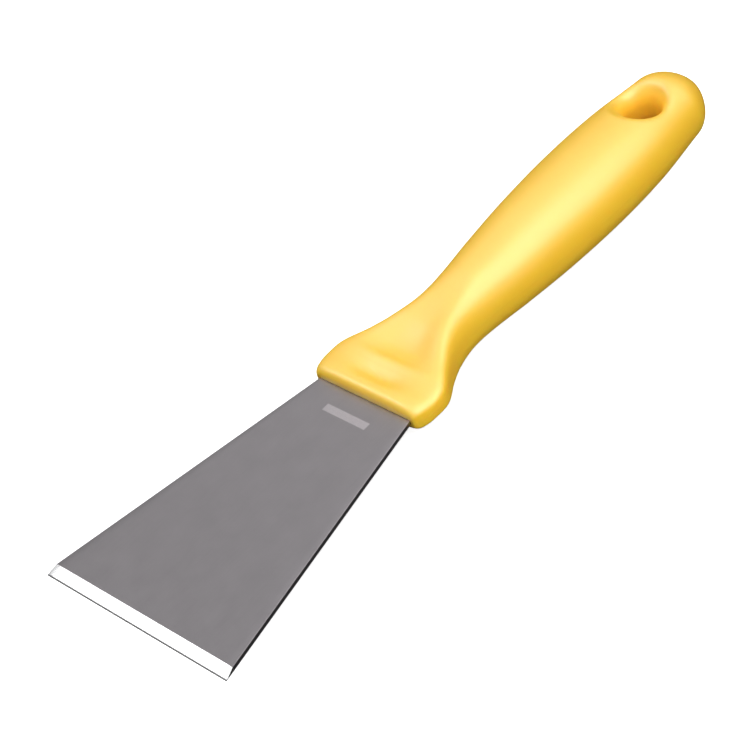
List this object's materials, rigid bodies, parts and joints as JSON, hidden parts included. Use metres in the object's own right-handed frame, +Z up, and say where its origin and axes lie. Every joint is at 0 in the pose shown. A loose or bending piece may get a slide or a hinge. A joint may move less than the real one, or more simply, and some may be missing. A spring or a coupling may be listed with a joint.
{
  "type": "hand scraper",
  "caption": "Stiff hand scraper: a flared stainless blade ground to one bevel, its tang moulded into a yellow plastic grip with thumb rests and a round hanging hole.",
  "frame": {"origin": "middle of the footprint on the bench, with the scraper lying on its cutting edge and on the lowest point of the handle's belly", "axes": "X along the cutting edge, +Y from the cutting edge towards the handle's hanging end, +Z up, out of the bevelled face; the blade's plane leans 4.0 degrees, its edge down"},
  "size_m": [0.075, 0.2394, 0.0277],
  "materials": {
    "stainless_steel": "fine lengthwise rolled grain, satin, with a bright ground bevel",
    "yellow_plastic": "semi-gloss moulded polypropylene"
  },
  "bodies": {
    "root": {"blade": "stainless_steel", "handle": "yellow_plastic"}
  },
  "joints": []
}
